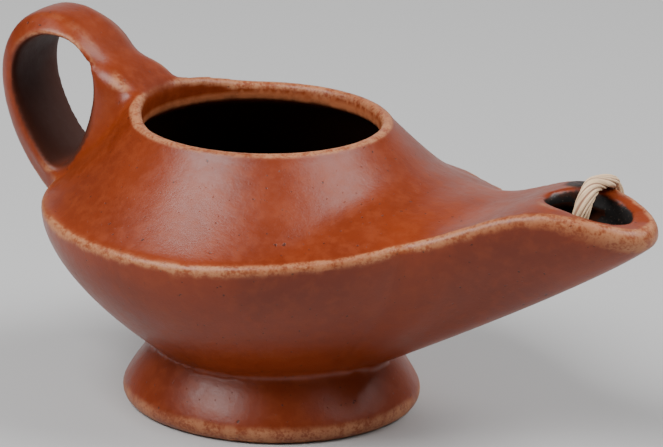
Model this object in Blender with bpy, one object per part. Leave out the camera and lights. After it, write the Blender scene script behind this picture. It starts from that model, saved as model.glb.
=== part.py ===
"""A small oil lamp of glazed clay: a round bowl on a foot, a long spout with a wick hole,
a ring handle, and a cotton wick. Metres, +Z up, +X towards the spout, origin under the foot."""

import math

import bmesh
import bpy
from mathutils import Vector
from mathutils.geometry import interpolate_bezier

MM = 0.001

# Foot, a turned pedestal with a flat underside
FOOT_RADIUS = 27.5 * MM
FOOT_OVERHANG = 1.0 * MM
FOOT_BAND_HEIGHT = 2.5 * MM
FOOT_DRAW_IN = 5.3 * MM
FOOT_DRAW_HEIGHT = 8.2 * MM
FOOT_SOFTNESS = 1.25

# Bowl, turned about an axis a little behind the foot's
BODY_RADIUS = 43.0 * MM
BODY_BACK = 1.6 * MM
RIDGE_HEIGHT = 38.1 * MM
BOWL_ROOT_RADIUS = 17.5 * MM
BOWL_ROOT_HEIGHT = 7.7 * MM
BOWL_FULLNESS = 1.64
RIDGE_ROUNDING = 1.3 * MM
RIDGE_LIFT = 0.5 * MM
RIDGE_DRAFT = 0.1 * RIDGE_ROUNDING

# Shoulder, a hollow cone up to the mouth
MOUTH_BACK = 3.4 * MM
MOUTH_RADIUS = 22.6 * MM
RIM_WIDTH = 2.4 * MM
RIM_HEIGHT = 55.0 * MM
RIM_DROP = 0.9 * MM
SHOULDER_HOLLOW = 1.26
COLLAR_HEIGHT = 3.7 * MM
FAN_RISE = 2.4 * MM
FAN_LEVEL_ANGLE = math.radians(12)
FAN_ANGLE = math.radians(60)

# Spout, which leaves the bowl's circle, narrows, and ends in a round tip
SPOUT_LEAVES_AT = math.radians(50)
SPOUT_LEAVING_REACH = 22.0 * MM
SPOUT_NECK_X = 42.1 * MM
SPOUT_NECK_HALF_WIDTH = 19.0 * MM
SPOUT_NECK_REACH = 8.0 * MM
SPOUT_TAPER = math.radians(21.2)
SPOUT_TIP_X = 79.4 * MM
SPOUT_FACE_REACH = 18.3 * MM
SPOUT_TIP_ROUNDNESS = 11.2 * MM
SPOUT_RISE = 11.9 * MM
SPOUT_RISE_PROFILE = (
    (0.08, 0.0), (0.27, 0.10), (0.40, 0.19), (0.48, 0.31), (0.55, 0.46),
    (0.62, 0.66), (0.70, 0.88), (0.79, 1.0), (0.88, 0.95), (1.0, 0.76),
)
SPOUT_LIP_DEPTH = 2.7 * MM
SPOUT_LIP_FROM = 34.0 * MM
SPOUT_LIP_TO = 50.0 * MM
SPOUT_BACK_RISE = 5.6 * MM
SPOUT_BACK_PROFILE = (
    (0.39, 1.0), (0.46, 0.76), (0.51, 0.53), (0.56, 0.24), (0.60, 0.08),
    (0.64, 0.04), (0.74, 0.12), (0.81, 0.06), (0.90, 0.0),
)
SPOUT_SINK_FROM = 5.0 * MM
SPOUT_SINK_TO = 30.0 * MM
SPOUT_BLEND = 5.0 * MM
KEEL_FULLNESS = 1.12

# Wick hole in the spout's flat face
WICK_HOLE_X = 66.6 * MM
WICK_HOLE_HALF_LENGTH = 9.0 * MM
WICK_HOLE_HALF_WIDTH = 7.1 * MM
WICK_HOLE_ROUNDING = 0.5 * MM
WICK_HOLE_TAPER = 1.7 * MM
WICK_HOLE_DEPTH = 7.0 * MM

# Walls
WALL = 3.6 * MM
FLOOR_THICKNESS = 5.0 * MM
WELL_RADIUS = 17.5 * MM
CAVITY_ROOT_LIFT = 1.25 * WALL
CAVITY_ROOT_INSET = 0.4 * WALL
CAVITY_EDGE_DROP = 0.9 * WALL
CAVITY_DEEPEST = 0.97

# Handle, a flat strap bent into a leaning ring, with an egg-shaped hole
RING_BACK = 43.0 * MM
RING_UP = 50.3 * MM
RING_HALF_LENGTH = 20.5 * MM
RING_HALF_WIDTH = 13.3 * MM
RING_LEAN = math.radians(27.7)
LOOP_BACK = 44.9 * MM
LOOP_UP = 53.0 * MM
LOOP_HALF_LENGTH = 12.9 * MM
LOOP_HALF_WIDTH = 8.2 * MM
LOOP_LEAN = math.radians(4.6)
LOOP_EGG = 0.4
STRAP_INNER_HALF_WIDTH = 8.2 * MM
STRAP_OUTER_HALF_WIDTH = 6.0 * MM
STRAP_FAN_WIDENING = 5.4 * MM
STRAP_FAN_FROM = math.radians(70)
STRAP_FAN_TO = math.radians(10)
STRAP_FAN_END = math.radians(-70)

# Wick, a soft twisted cotton cord
WICK_DIAMETER = 3.2 * MM
WICK_ROUTE = (
    (-10.0, 4.5, 7.1), (-6.0, 7.4, 7.1), (-1.0, 8.2, 7.1), (3.6, 6.2, 7.2), (7.4, 3.8, 8.1),
    (10.6, 2.1, 10.6), (13.6, 0.9, 13.9), (16.8, 0.2, 16.2), (20.5, 0.0, 17.5), (28.0, 0.0, 21.0),
    (36.0, 0.0, 25.0), (44.0, 0.0, 29.1), (52.0, -0.2, 33.5), (57.6, -0.6, 36.8),
    (61.6, -1.4, 39.9), (64.5, -2.7, 43.2), (65.9, -3.7, 46.6), (66.3, -3.7, 49.2),
    (66.4, -2.7, 51.2), (66.5, -1.0, 52.6), (66.6, 1.4, 53.3), (66.7, 4.2, 53.4),
    (66.8, 7.2, 53.1), (67.0, 10.0, 52.5), (67.3, 12.5, 51.1), (67.5, 13.7, 48.6),
    (67.5, 13.8, 45.6),
)

# Fineness of the faceted surfaces
HALF_ARC_STEPS = 22
SPOUT_SIDE_STEPS = 6
SPOUT_FACE_STEPS = 9
BOWL_LEVELS = 8
SHOULDER_LEVELS = 9
FOOT_LEVELS = 3
CAVITY_LEVELS = 5
STRAP_STATIONS = 38
WICK_HOLE_SIDES = 28
ROUTE_STEPS = 12
WICK_POINTS = 44


def clamp(value):
    return max(0.0, min(1.0, value))


def smoothstep(value):
    value = clamp(value)
    return value * value * (3 - 2 * value)


def smooth_max(first, second, width):
    overlap = max(width - abs(first - second), 0.0) / width
    return max(first, second) + overlap * overlap * width / 4


def through(stations, place):
    """The height at a place, on a smooth curve through (place, height) stations."""
    places = [station[0] for station in stations]
    heights = [station[1] for station in stations]
    last = len(stations) - 1
    if place <= places[0]:
        return heights[0]
    if place >= places[last]:
        return heights[last]
    i = max(k for k in range(last) if places[k] <= place)

    def slope(k):
        low = max(k - 1, 0)
        high = min(k + 1, last)
        return (heights[high] - heights[low]) / (places[high] - places[low])

    span = places[i + 1] - places[i]
    t = (place - places[i]) / span
    near, far = slope(i) * span, slope(i + 1) * span
    rise = heights[i + 1] - heights[i]
    return heights[i] + t * near + t * t * (3 * rise - 2 * near - far) + t ** 3 * (near + far - 2 * rise)


def bezier(start, start_handle, end_handle, end, steps):
    """Plan points along a curve, without its first point."""
    ends = [Vector((x, y, 0)) for x, y in (start, start_handle, end_handle, end)]
    return [(p.x, p.y) for p in interpolate_bezier(*ends, steps + 1)[1:]]


def half_outline():
    """The ridge in plan, from the handle's side round to the spout's tip, on the +Y side."""
    turn = math.pi - SPOUT_LEAVES_AT
    arc = []
    for i in range(HALF_ARC_STEPS + 1):
        angle = math.pi - turn * i / HALF_ARC_STEPS
        arc.append((BODY_RADIUS * math.cos(angle) - BODY_BACK, BODY_RADIUS * math.sin(angle)))
    leave = arc[-1]
    leave_handle = (
        leave[0] + SPOUT_LEAVING_REACH * math.sin(SPOUT_LEAVES_AT),
        leave[1] - SPOUT_LEAVING_REACH * math.cos(SPOUT_LEAVES_AT),
    )
    neck = (SPOUT_NECK_X, SPOUT_NECK_HALF_WIDTH)
    along = (math.cos(SPOUT_TAPER), -math.sin(SPOUT_TAPER))
    neck_in = (neck[0] - SPOUT_NECK_REACH * along[0], neck[1] - SPOUT_NECK_REACH * along[1])
    neck_out = (neck[0] + SPOUT_FACE_REACH * along[0], neck[1] + SPOUT_FACE_REACH * along[1])
    tip = (SPOUT_TIP_X, 0.0)
    side = bezier(leave, leave_handle, neck_in, neck, SPOUT_SIDE_STEPS)
    face = bezier(neck, neck_out, (tip[0], SPOUT_TIP_ROUNDNESS), tip, SPOUT_FACE_STEPS)
    return arc + side + face


def closed_outline():
    """The whole ridge in plan, counter-clockwise from the spout's tip."""
    half = half_outline()
    far_side = half[::-1]
    near_side = [(x, -y) for x, y in half[1:-1]]
    return far_side + near_side


def inset(outline, depth):
    """The plan outline moved inwards by a depth along its own normals."""
    count = len(outline)
    moved = []
    for i, (x, y) in enumerate(outline):
        before = Vector(outline[i - 1])
        after = Vector(outline[(i + 1) % count])
        along = (after - before).normalized()
        moved.append((x - along.y * depth, y + along.x * depth))
    return moved


def length_share(x):
    return (x + BODY_BACK) / (SPOUT_TIP_X + BODY_BACK)


def ridge_height(x):
    """The ridge climbs from the bowl to the spout's face, and dips a little to the tip."""
    return RIDGE_HEIGHT + SPOUT_RISE * through(SPOUT_RISE_PROFILE, length_share(x))


def lip_share(x):
    """0 on the bowl, 1 where the spout's lip has its full depth."""
    return smoothstep((x - SPOUT_LIP_FROM) / (SPOUT_LIP_TO - SPOUT_LIP_FROM))


def half_width(x):
    """The ridge's half width at a place along the lamp."""
    half = half_outline()
    for (x0, y0), (x1, y1) in zip(half[:-1], half[1:]):
        if x0 <= x <= x1:
            return y0 + (y1 - y0) * (x - x0) / max(x1 - x0, 1e-9)
    return 0.0


def rim_rise(angle):
    """The rim stands a little higher where the handle flows into it."""
    off = abs(math.remainder(angle - math.pi, 2 * math.pi))
    return FAN_RISE * (1 - smoothstep((off - FAN_LEVEL_ANGLE) / (FAN_ANGLE - FAN_LEVEL_ANGLE)))


def foot_radius(height):
    """The foot's side above its band, rounding over and drawing in towards the bowl."""
    climb = max(height - FOOT_BAND_HEIGHT, 0.0) / FOOT_DRAW_HEIGHT
    return FOOT_RADIUS + FOOT_OVERHANG - FOOT_DRAW_IN * climb ** FOOT_SOFTNESS


def bowl_point(edge, height, root_radius, root_height, depth):
    """A point at a share of the depth from the ridge down to the bowl's root."""
    reach = math.hypot(edge[0] + BODY_BACK, edge[1])
    longest = SPOUT_TIP_X + BODY_BACK
    beyond = clamp((reach - BODY_RADIUS) / (longest - BODY_RADIUS))
    power = BOWL_FULLNESS + (KEEL_FULLNESS - BOWL_FULLNESS) * beyond
    out = 1 - depth ** power
    root = ((edge[0] + BODY_BACK) / reach * root_radius, edge[1] / reach * root_radius)
    return (
        root[0] + (edge[0] - root[0]) * out,
        root[1] + (edge[1] - root[1]) * out,
        height + (root_height - height) * depth,
    )


def shoulder_height(x, y):
    """The top surface: a hollow cone under the rim, run together with the spout's face."""
    rim_radius = MOUTH_RADIUS + RIM_WIDTH
    share = 0.0
    for _ in range(4):
        centre_back = BODY_BACK + (MOUTH_BACK - BODY_BACK) * share
        across = math.hypot(x + centre_back, y)
        share = clamp((BODY_RADIUS - across) / (BODY_RADIUS - rim_radius))
    low = RIDGE_HEIGHT + RIDGE_LIFT
    high = RIM_HEIGHT - RIM_DROP
    cone = low + (high - low) * share ** SHOULDER_HOLLOW
    width = max(half_width(x), 1e-6)
    back_rise = SPOUT_BACK_RISE * through(SPOUT_BACK_PROFILE, length_share(x))
    back = back_rise * (1 - clamp(abs(y) / width) ** 2)
    sunk = SPOUT_RISE * (1 - smoothstep((x - SPOUT_SINK_FROM) / (SPOUT_SINK_TO - SPOUT_SINK_FROM)))
    face = ridge_height(x) + RIDGE_LIFT + back - sunk
    return smooth_max(cone, face, SPOUT_BLEND)


def ring_at(radius, height, back, angles):
    return [(radius * math.cos(a) - back, radius * math.sin(a), height) for a in angles]


def polar_angles(outline, back):
    return [math.atan2(y, x + back) for x, y in outline]


def outer_rings():
    """The clay's outside, from the underside up to the closed top of the rim."""
    outline = closed_outline()
    angles = polar_angles(outline, BODY_BACK)
    rings = [
        ring_at(FOOT_RADIUS, 0.0, 0.0, angles),
        ring_at(FOOT_RADIUS + FOOT_OVERHANG * 0.8, FOOT_BAND_HEIGHT * 0.4, 0.0, angles),
    ]
    lip = [RIDGE_ROUNDING + (SPOUT_LIP_DEPTH - RIDGE_ROUNDING) * lip_share(x) for x, _ in outline]
    low_edge = inset(outline, RIDGE_DRAFT)
    low_height = [ridge_height(x) - drop for (x, _), drop in zip(outline, lip)]
    meets = [meet_foot(edge, height) for edge, height in zip(low_edge, low_height)]
    for level in range(FOOT_LEVELS + 1):
        ring = []
        for angle, edge, height, depth in zip(angles, low_edge, low_height, meets):
            x, y, top = bowl_point(edge, height, BOWL_ROOT_RADIUS, BOWL_ROOT_HEIGHT, depth)
            z = FOOT_BAND_HEIGHT + (top - FOOT_BAND_HEIGHT) * level / (FOOT_LEVELS + 1)
            ring.append((foot_radius(z) * math.cos(angle), foot_radius(z) * math.sin(angle), z))
        rings.append(ring)
    for level in range(BOWL_LEVELS + 1):
        share = 1 - level / BOWL_LEVELS
        ring = []
        for edge, height, depth in zip(low_edge, low_height, meets):
            ring.append(bowl_point(edge, height, BOWL_ROOT_RADIUS, BOWL_ROOT_HEIGHT, depth * share))
        rings.append(ring)
    rings.append([(x, y, ridge_height(x)) for x, y in outline])
    edge = inset(outline, RIDGE_ROUNDING)
    rim_radius = MOUTH_RADIUS + RIM_WIDTH
    rings += shoulder_rings(edge, SHOULDER_LEVELS, 0.0, rim_radius, RIM_HEIGHT - RIM_DROP, 1)
    rise = [rim_rise(angle) for angle in angles]
    rim = (
        (RIM_WIDTH * 0.92, -RIM_DROP * 0.45),
        (RIM_WIDTH * 0.55, 0.0),
        (RIM_WIDTH * 0.10, 0.0),
        (-RIM_WIDTH, -RIM_DROP * 0.6),
    )
    for out, up in rim:
        ring = ring_at(MOUTH_RADIUS + out, RIM_HEIGHT + up, MOUTH_BACK, angles)
        rings.append([(x, y, z + lift) for (x, y, z), lift in zip(ring, rise)])
    return rings


def meet_foot(edge, height):
    """The share of the bowl's depth at which it meets the foot's side, found by halving."""
    low, high = 0.5, 1.0
    for _ in range(30):
        middle = (low + high) / 2
        x, y, z = bowl_point(edge, height, BOWL_ROOT_RADIUS, BOWL_ROOT_HEIGHT, middle)
        if math.hypot(x, y) > foot_radius(z):
            low = middle
        else:
            high = middle
    return high


def shoulder_rings(edge, levels, thickness, rim_radius, rim_height, fan):
    """Rings over the shoulder and the spout's face, from the ridge up to the rim or the collar."""
    rings = []
    for level in range(levels + 1):
        t = level / levels
        ring = []
        for x, y in edge:
            angle = math.atan2(y, x + BODY_BACK)
            rim = (rim_radius * math.cos(angle) - MOUTH_BACK, rim_radius * math.sin(angle))
            px, py = x + (rim[0] - x) * t, y + (rim[1] - y) * t
            at_edge = ridge_height(x) + RIDGE_LIFT - shoulder_height(x, y)
            at_rim = rim_height + fan * rim_rise(angle) - (shoulder_height(*rim) - thickness)
            z = shoulder_height(px, py) - thickness + at_edge * (1 - t) ** 3 + at_rim * t ** 3
            ring.append((px, py, z))
        rings.append(ring)
    return rings


def cavity_rings():
    """The hollow inside: a well in the foot, the reservoir, the spout's channel and the mouth."""
    edge = inset(closed_outline(), WALL + RIDGE_ROUNDING)
    angles = polar_angles(edge, BODY_BACK)
    root_height = BOWL_ROOT_HEIGHT + CAVITY_ROOT_LIFT
    root_radius = WELL_RADIUS - CAVITY_ROOT_INSET
    rings = [
        ring_at(WELL_RADIUS - WALL, FLOOR_THICKNESS, 0.0, angles),
        ring_at(WELL_RADIUS - WALL * 0.3, FLOOR_THICKNESS + WALL * 0.3, 0.0, angles),
        ring_at(WELL_RADIUS, FLOOR_THICKNESS + WALL, 0.0, angles),
    ]
    for level in range(CAVITY_LEVELS + 1):
        depth = CAVITY_DEEPEST * (1 - level / CAVITY_LEVELS)
        ring = []
        for x, y in edge:
            low = ridge_height(x) - CAVITY_EDGE_DROP
            ring.append(bowl_point((x, y), low, root_radius, root_height, depth))
        rings.append(ring)
    collar_foot = RIM_HEIGHT - COLLAR_HEIGHT
    rings += shoulder_rings(edge, CAVITY_LEVELS, WALL, MOUTH_RADIUS, collar_foot, 0)
    collar = (
        (0.0, RIM_HEIGHT - RIM_DROP),
        (RIM_WIDTH * 0.35, RIM_HEIGHT + RIM_DROP * 0.2),
        (RIM_WIDTH * 0.7, RIM_HEIGHT + FAN_RISE + RIM_DROP),
        (0.0, RIM_HEIGHT + FAN_RISE + WALL),
    )
    for out, height in collar:
        rings.append(ring_at(MOUTH_RADIUS + out, height, MOUTH_BACK, angles))
    return rings


def wick_hole_rings():
    """An oval funnel down through the spout's face into its channel."""
    face = RIDGE_HEIGHT + SPOUT_RISE
    levels = (
        (-WICK_HOLE_DEPTH, -WICK_HOLE_TAPER),
        (-WICK_HOLE_ROUNDING * 3, 0.0),
        (0.0, WICK_HOLE_ROUNDING),
        (WALL, WICK_HOLE_ROUNDING * 5),
    )
    rings = []
    for up, out in levels:
        ring = []
        for i in range(WICK_HOLE_SIDES):
            angle = 2 * math.pi * i / WICK_HOLE_SIDES
            x = WICK_HOLE_X + min(out, 0.0) + (WICK_HOLE_HALF_LENGTH + out) * math.cos(angle)
            ring.append((x, (WICK_HOLE_HALF_WIDTH + out) * math.sin(angle), face + up))
        rings.append(ring)
    return rings


def loop_point(angle):
    """A point on the edge of the handle's hole, which is wider at its top."""
    u = LOOP_HALF_WIDTH * math.cos(angle) * (1 + LOOP_EGG * math.sin(angle))
    v = LOOP_HALF_LENGTH * math.sin(angle)
    turn_cos, turn_sin = math.cos(LOOP_LEAN), math.sin(LOOP_LEAN)
    return Vector((-LOOP_BACK + u * turn_cos - v * turn_sin, 0, LOOP_UP + u * turn_sin + v * turn_cos))


def ring_beyond(start, away):
    """Where a ray from inside the handle's outer oval leaves it."""
    turn_cos, turn_sin = math.cos(RING_LEAN), math.sin(RING_LEAN)

    def to_oval(x, z):
        return Vector((
            (x * turn_cos + z * turn_sin) / RING_HALF_WIDTH,
            (z * turn_cos - x * turn_sin) / RING_HALF_LENGTH,
        ))

    place = to_oval(start.x + RING_BACK, start.z - RING_UP)
    step = to_oval(away.x, away.z)
    a, b, c = step.dot(step), place.dot(step), place.dot(place) - 1
    return start + away * ((-b + math.sqrt(b * b - a * c)) / a)


def strap_fan(angle):
    """How far the strap has spread where it runs into the rim and down the shoulder."""
    angle = math.remainder(angle, 2 * math.pi)
    if angle > STRAP_FAN_TO:
        return smoothstep((STRAP_FAN_FROM - angle) / (STRAP_FAN_FROM - STRAP_FAN_TO))
    return smoothstep((angle - STRAP_FAN_END) / (STRAP_FAN_TO - STRAP_FAN_END))


def strap_rings():
    """The strap's sections round the handle: wide on the hole's side, narrower outside, crowned."""
    centre = Vector((-LOOP_BACK, 0, LOOP_UP))
    rings = []
    for i in range(STRAP_STATIONS):
        angle = 2 * math.pi * i / STRAP_STATIONS
        inner = loop_point(angle)
        outer = ring_beyond(inner, (inner - centre).normalized())
        spread = STRAP_FAN_WIDENING * strap_fan(angle)
        inner_width = STRAP_INNER_HALF_WIDTH + spread
        outer_width = STRAP_OUTER_HALF_WIDTH + spread
        half_section = (
            (0.0, inner_width * 0.65),
            (0.06, inner_width * 0.93),
            (0.22, inner_width),
            (0.88, outer_width),
            (0.99, outer_width * 0.8),
        )
        section = [(share, -width) for share, width in half_section]
        section += [(1.04, 0.0)]
        section += [(share, width) for share, width in reversed(half_section)]
        ring = []
        for share, width in section:
            point = inner.lerp(outer, share)
            ring.append((point.x, width, point.z))
        rings.append(ring)
    return rings


def loft(name, rings, collection, closed=False):
    """An object whose skin joins each ring to the next, with its ends closed or met."""
    mesh = bmesh.new()
    layers = [[mesh.verts.new(point) for point in ring] for ring in rings]
    pairs = list(zip(layers[:-1], layers[1:]))
    if closed:
        pairs.append((layers[-1], layers[0]))
    else:
        mesh.faces.new(layers[0])
        mesh.faces.new(layers[-1])
    for low, high in pairs:
        for i in range(len(low)):
            j = (i + 1) % len(low)
            mesh.faces.new((low[i], low[j], high[j], high[i]))
    bmesh.ops.recalc_face_normals(mesh, faces=mesh.faces)
    if not closed:
        end_caps = [face for face in mesh.faces if len(face.verts) > 4]
        bmesh.ops.triangulate(mesh, faces=end_caps)
    data = bpy.data.meshes.new(name)
    mesh.to_mesh(data)
    mesh.free()
    obj = bpy.data.objects.new(name, data)
    collection.objects.link(obj)
    return obj


def cutter(name, rings, collection, closed=False):
    obj = loft(name, rings, collection, closed)
    obj.hide_render = True
    obj.display_type = 'WIRE'
    return obj


def add_boolean(obj, name, operation, other):
    boolean = obj.modifiers.new(name, 'BOOLEAN')
    boolean.operation = operation
    boolean.solver = 'EXACT'
    boolean.object = other


def material(name, colour, roughness):
    made = bpy.data.materials.new(name)
    made.use_nodes = True
    shader = made.node_tree.nodes['Principled BSDF']
    shader.inputs['Base Color'].default_value = (*colour, 1)
    shader.inputs['Roughness'].default_value = roughness
    shader.inputs['Metallic'].default_value = 0.0
    return made


def make_body(parts, helpers):
    body = loft('lamp_body', outer_rings(), parts)
    strap = cutter('strap_shape', strap_rings(), helpers, closed=True)
    hole = cutter('wick_hole_shape', wick_hole_rings(), helpers)
    hollow = cutter('hollow_shape', cavity_rings(), helpers)
    add_boolean(body, 'join_strap', 'UNION', strap)
    add_boolean(body, 'open_wick_hole', 'DIFFERENCE', hole)
    add_boolean(body, 'hollow_out', 'DIFFERENCE', hollow)
    body.data.shade_smooth()
    body.data.set_sharp_from_angle(angle=math.radians(40))
    body.data.materials.append(material('glazed_clay', (0.31, 0.085, 0.03), 0.32))
    return body


def smooth_route(stations, count):
    """Evenly spaced points along a smooth curve through the route's own points."""
    points = [Vector(station) * MM for station in stations]
    fine = []
    last = len(points) - 1
    for i in range(last):
        before, start = points[max(i - 1, 0)], points[i]
        end, after = points[i + 1], points[min(i + 2, last)]
        for k in range(ROUTE_STEPS):
            t = k / ROUTE_STEPS
            bend = (2 * before - 5 * start + 4 * end - after) * t * t
            bend += (3 * start - before - 3 * end + after) * t ** 3
            fine.append(start + ((end - before) * t + bend) / 2)
    fine.append(points[last])
    lengths = [0.0]
    for here, there in zip(fine[:-1], fine[1:]):
        lengths.append(lengths[-1] + (there - here).length)
    route = []
    for i in range(count):
        wanted = lengths[-1] * i / (count - 1)
        k = max(j for j in range(len(fine) - 1) if lengths[j] <= wanted)
        share = (wanted - lengths[k]) / (lengths[k + 1] - lengths[k])
        route.append(fine[k].lerp(fine[k + 1], min(share, 1.0)))
    return route


def make_wick(parts):
    curve = bpy.data.curves.new('wick', 'CURVE')
    curve.dimensions = '3D'
    curve.bevel_depth = WICK_DIAMETER / 2
    curve.bevel_resolution = 2
    curve.use_fill_caps = True
    spline = curve.splines.new('POLY')
    spline.points.add(WICK_POINTS - 1)
    for point, place in zip(spline.points, smooth_route(WICK_ROUTE, WICK_POINTS)):
        point.co = (*place, 1)
    spline.use_smooth = True
    curve.materials.append(material('cotton', (0.62, 0.47, 0.34), 0.9))
    wick = bpy.data.objects.new('wick', curve)
    parts.objects.link(wick)
    return wick


def main():
    for obj in list(bpy.data.objects):
        bpy.data.objects.remove(obj)
    parts = bpy.data.collections.new('oil_lamp')
    helpers = bpy.data.collections.new('helper_shapes')
    bpy.context.scene.collection.children.link(parts)
    bpy.context.scene.collection.children.link(helpers)
    make_body(parts, helpers)
    make_wick(parts)


main()
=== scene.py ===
"""The looks of a small glazed clay oil lamp: worn, semi-glossy clay and a twisted cotton wick."""

import math

import bmesh
import bpy
import numpy as np
from mathutils import Matrix, Vector


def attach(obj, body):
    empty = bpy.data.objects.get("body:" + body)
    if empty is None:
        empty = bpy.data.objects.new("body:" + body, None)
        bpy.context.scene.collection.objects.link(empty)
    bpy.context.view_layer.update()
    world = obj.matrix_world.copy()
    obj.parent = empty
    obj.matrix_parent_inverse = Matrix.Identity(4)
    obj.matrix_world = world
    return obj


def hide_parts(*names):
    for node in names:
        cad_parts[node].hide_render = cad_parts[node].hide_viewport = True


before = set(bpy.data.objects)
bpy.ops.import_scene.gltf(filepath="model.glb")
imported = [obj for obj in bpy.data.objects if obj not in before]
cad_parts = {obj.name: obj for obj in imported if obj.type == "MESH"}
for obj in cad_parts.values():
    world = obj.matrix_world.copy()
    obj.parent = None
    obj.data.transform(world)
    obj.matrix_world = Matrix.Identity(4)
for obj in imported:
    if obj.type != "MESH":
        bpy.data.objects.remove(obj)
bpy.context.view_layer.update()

MM = 0.001

# The clay's form, on the same sizes as the solid
FOOT_RADIUS = 27.5 * MM
FOOT_OVERHANG = 1.0 * MM
FOOT_BAND_HEIGHT = 2.5 * MM
FOOT_DRAW_IN = 5.3 * MM
FOOT_DRAW_HEIGHT = 8.2 * MM
FOOT_SOFTNESS = 1.25
BODY_RADIUS = 43.0 * MM
BODY_BACK = 1.6 * MM
RIDGE_HEIGHT = 38.1 * MM
BOWL_ROOT_RADIUS = 17.5 * MM
BOWL_ROOT_HEIGHT = 7.7 * MM
BOWL_FULLNESS = 1.64
RIDGE_ROUNDING = 1.3 * MM
RIDGE_LIFT = 0.5 * MM
MOUTH_BACK = 3.4 * MM
MOUTH_RADIUS = 22.6 * MM
RIM_WIDTH = 2.4 * MM
RIM_HEIGHT = 55.0 * MM
RIM_DROP = 0.9 * MM
SHOULDER_HOLLOW = 1.26
COLLAR_HEIGHT = 3.7 * MM
FAN_RISE = 2.4 * MM
FAN_LEVEL_ANGLE = math.radians(12)
FAN_ANGLE = math.radians(60)
SPOUT_LEAVES_AT = math.radians(50)
SPOUT_LEAVING_REACH = 22.0 * MM
SPOUT_NECK_X = 42.1 * MM
SPOUT_NECK_HALF_WIDTH = 19.0 * MM
SPOUT_NECK_REACH = 8.0 * MM
SPOUT_TAPER = math.radians(21.2)
SPOUT_TIP_X = 79.4 * MM
SPOUT_FACE_REACH = 18.3 * MM
SPOUT_TIP_ROUNDNESS = 11.2 * MM
SPOUT_RISE = 11.9 * MM
SPOUT_RISE_PROFILE = (
    (0.08, 0.0), (0.27, 0.10), (0.40, 0.19), (0.48, 0.31), (0.55, 0.46),
    (0.62, 0.66), (0.70, 0.88), (0.79, 1.0), (0.88, 0.95), (1.0, 0.76),
)
SPOUT_LIP_DEPTH = 2.7 * MM
SPOUT_LIP_FROM = 34.0 * MM
SPOUT_LIP_TO = 50.0 * MM
SPOUT_BACK_RISE = 5.6 * MM
SPOUT_BACK_PROFILE = (
    (0.39, 1.0), (0.46, 0.76), (0.51, 0.53), (0.56, 0.24), (0.60, 0.08),
    (0.64, 0.04), (0.74, 0.12), (0.81, 0.06), (0.90, 0.0),
)
SPOUT_SINK_FROM = 5.0 * MM
SPOUT_SINK_TO = 30.0 * MM
SPOUT_BLEND = 5.0 * MM
KEEL_FULLNESS = 1.12
WICK_HOLE_X = 66.4 * MM
WICK_HOLE_HALF_LENGTH = 8.3 * MM
WICK_HOLE_HALF_WIDTH = 6.3 * MM
WICK_HOLE_ROUNDING = 0.5 * MM
WICK_HOLE_TAPER = 1.7 * MM
WICK_HOLE_DEPTH = 7.0 * MM
WALL = 3.6 * MM
FLOOR_THICKNESS = 5.0 * MM
WELL_RADIUS = 17.5 * MM
RING_BACK = 43.0 * MM
RING_UP = 50.3 * MM
RING_HALF_LENGTH = 20.5 * MM
RING_HALF_WIDTH = 13.3 * MM
RING_LEAN = math.radians(27.7)
LOOP_BACK = 44.9 * MM
LOOP_UP = 53.0 * MM
LOOP_HALF_LENGTH = 12.9 * MM
LOOP_HALF_WIDTH = 8.2 * MM
LOOP_LEAN = math.radians(4.6)
LOOP_EGG = 0.4

# The handle's strap, as the photo shows it
STRAP_INNER_HALF_WIDTH = 8.9 * MM
STRAP_OUTER_HALF_WIDTH = 5.7 * MM
STRAP_FOOT_WIDENING = 2.9 * MM
STRAP_WIDENING_FROM = math.radians(32)
STRAP_WIDENING_TO = math.radians(8)
STRAP_BACK_WIDENING = 1.2 * MM
STRAP_FLARE = 3.9 * MM
STRAP_FLARE_FROM = math.radians(38)
STRAP_FLARE_TO = math.radians(8)
STRAP_FLARE_END = math.radians(-35)

# Relief that only this fine surface has
SPOUT_DISH = 0.6 * MM
DISH_FROM = 60.0 * MM
DISH_TO = 74.0 * MM
DISH_LIP = 1.0 * MM
DISH_SLOPE = 2.6 * MM
VOXEL = 0.75 * MM
SMOOTH_PASSES = 9
FILLET_PASSES = 105
FILLET_PACE = 0.6
FILLET_CUTTING_SHARE = 0.08
FILLET_NORMALS_EVERY = 20
FILLET_REACH = 8.0 * MM
FILLET_MID = (-33.0 * MM, 0.0, 53.0 * MM)
FILLET_HALF_LINE = (3.5 * MM, 0.0, 6.0 * MM)
FILLET_SIDEWAYS_SHARE = 0.45
STRAP_PASSES = 12
STRAP_PACE = 0.5
STRAP_EASED_FROM_X = -31.0 * MM
STRAP_EASED_OVER = 4.0 * MM
STRAP_EASED_RISE = 9.0 * MM

# Where the surface is worn and sooty, and where shade is painted inside the handle's opening
EDGE_PASSES = 5
EDGE_PACE = 0.6
EDGE_VOXEL = 0.70 * MM
STRAP_FROM_X = -30.0 * MM
STRAP_OVER = 3.0 * MM
LOOP_SHADE_REACH = 12.0 * MM
LOOP_SHADE_FADE = 2.5 * MM
OPENING_EDGE_REACH = 13.5 * MM
OPENING_EDGE_FADE = 1.5 * MM
CREST_X = -37.0 * MM
CREST_LENGTH = 8.0 * MM
CREST_FROM_Z = 56.0 * MM
BAND_BELOW = 0.9 * MM
BAND_TIP_GROWTH = (2.5 * MM, 58.0 * MM, 22.0 * MM)
BAND_SPOUT_GROWTH = (0.7 * MM, 30.0 * MM, 25.0 * MM)
CHANNEL_X = 30.0 * MM
COLLAR_FADE = 1.4 * MM
NOTCH_PLACE = (58.7 * MM, 9.6 * MM)
NOTCH_ALONG = (-0.54, 0.84)
NOTCH_HALF_LENGTH = 5.2 * MM
NOTCH_HALF_WIDTH = 2.6 * MM

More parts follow.
